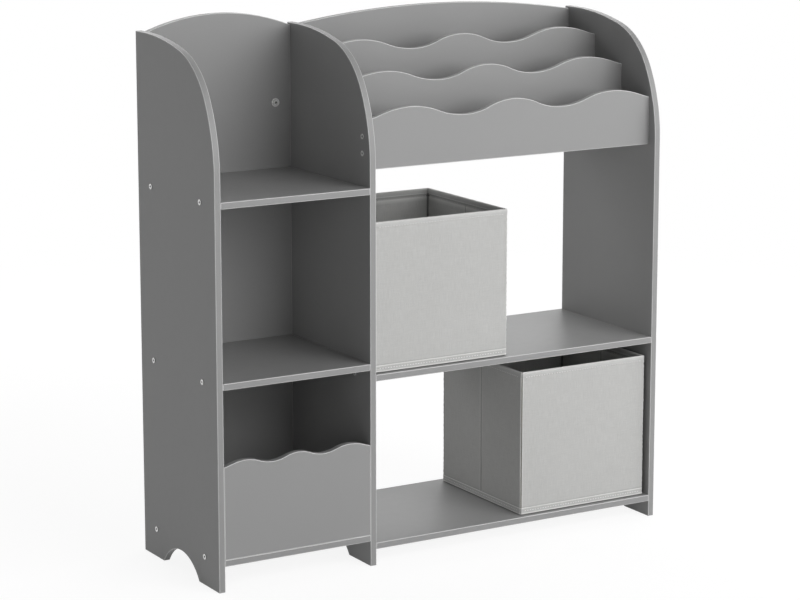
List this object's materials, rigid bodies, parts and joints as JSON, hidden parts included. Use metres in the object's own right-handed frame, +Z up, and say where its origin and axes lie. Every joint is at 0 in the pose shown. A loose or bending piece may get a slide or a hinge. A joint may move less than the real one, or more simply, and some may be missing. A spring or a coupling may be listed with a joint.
{
  "type": "kids shelf",
  "caption": "Grey children's shelf with an open bay and toy trough, a stepped wavy book rack over open shelves, and fabric bins that pull out.",
  "frame": {"origin": "on the floor below the middle of the carcass's width and depth", "axes": "+X to the right as seen from the front, the front faces -Y, +Z up"},
  "size_m": [0.9324, 0.3, 0.977],
  "materials": {
    "grey_board": "smooth matt laminate on fibreboard",
    "zinc_steel": "bright zinc plate",
    "beech_dowel": "fluted beech",
    "grey_fabric": "light grey non-woven fabric with a linen grain",
    "grey_card": "hard card"
  },
  "bodies": {
    "carcass": {"left_side_panel": "grey_board", "divider_panel": "grey_board", "right_side_panel": "grey_board", "left_back_panel": "grey_board", "left_top_shelf": "grey_board", "left_middle_shelf": "grey_board", "left_bottom_shelf": "grey_board", "toy_trough_front": "grey_board", "right_middle_shelf": "grey_board", "right_bottom_shelf": "grey_board", "rack_floor": "grey_board", "rack_front_panel": "grey_board", "rack_middle_panel": "grey_board", "rack_rear_panel": "grey_board", "rack_back_panel": "grey_board", "left_side_screws": "zinc_steel", "divider_left_screws": "zinc_steel", "divider_right_screws": "zinc_steel", "right_side_screws": "zinc_steel", "left_back_screws": "zinc_steel", "rack_back_screws": "zinc_steel", "rack_floor_screws": "zinc_steel", "left_shelf_dowels": "beech_dowel", "right_shelf_dowels": "beech_dowel", "toy_trough_dowels": "beech_dowel", "left_back_dowels": "beech_dowel", "rack_floor_dowels": "beech_dowel", "rack_panel_dowels": "beech_dowel", "rack_back_dowels": "beech_dowel", "wall_fixing_washer": "zinc_steel", "wall_fixing_sleeve": "zinc_steel"},
    "upper_bin": {"upper_bin_floor": "grey_fabric", "upper_bin_walls": "grey_fabric", "upper_bin_rim": "grey_fabric", "upper_bin_front_stiffener": "grey_card", "upper_bin_rear_stiffener": "grey_card", "upper_bin_left_front_stiffener": "grey_card", "upper_bin_left_rear_stiffener": "grey_card", "upper_bin_right_front_stiffener": "grey_card", "upper_bin_right_rear_stiffener": "grey_card"},
    "upper_bin_base": {"upper_bin_base_board": "grey_fabric"},
    "lower_bin": {"lower_bin_floor": "grey_fabric", "lower_bin_walls": "grey_fabric", "lower_bin_rim": "grey_fabric", "lower_bin_front_stiffener": "grey_card", "lower_bin_rear_stiffener": "grey_card", "lower_bin_left_front_stiffener": "grey_card", "lower_bin_left_rear_stiffener": "grey_card", "lower_bin_right_front_stiffener": "grey_card", "lower_bin_right_rear_stiffener": "grey_card"},
    "lower_bin_base": {"lower_bin_base_board": "grey_fabric"}
  },
  "joints": [
    {"name": "upper_bin_pull", "type": "slide", "parent": "carcass", "child": "upper_bin", "axis": [0, -1, 0], "range_m": [0, 0.28]},
    {"name": "upper_bin_base_lift", "type": "slide", "parent": "upper_bin", "child": "upper_bin_base", "axis": [0, 0, 1], "range_m": [0, 0.27]},
    {"name": "lower_bin_pull", "type": "slide", "parent": "carcass", "child": "lower_bin", "axis": [0, -1, 0], "range_m": [0, 0.28]},
    {"name": "lower_bin_base_lift", "type": "slide", "parent": "lower_bin", "child": "lower_bin_base", "axis": [0, 0, 1], "range_m": [0, 0.27]}
  ]
}
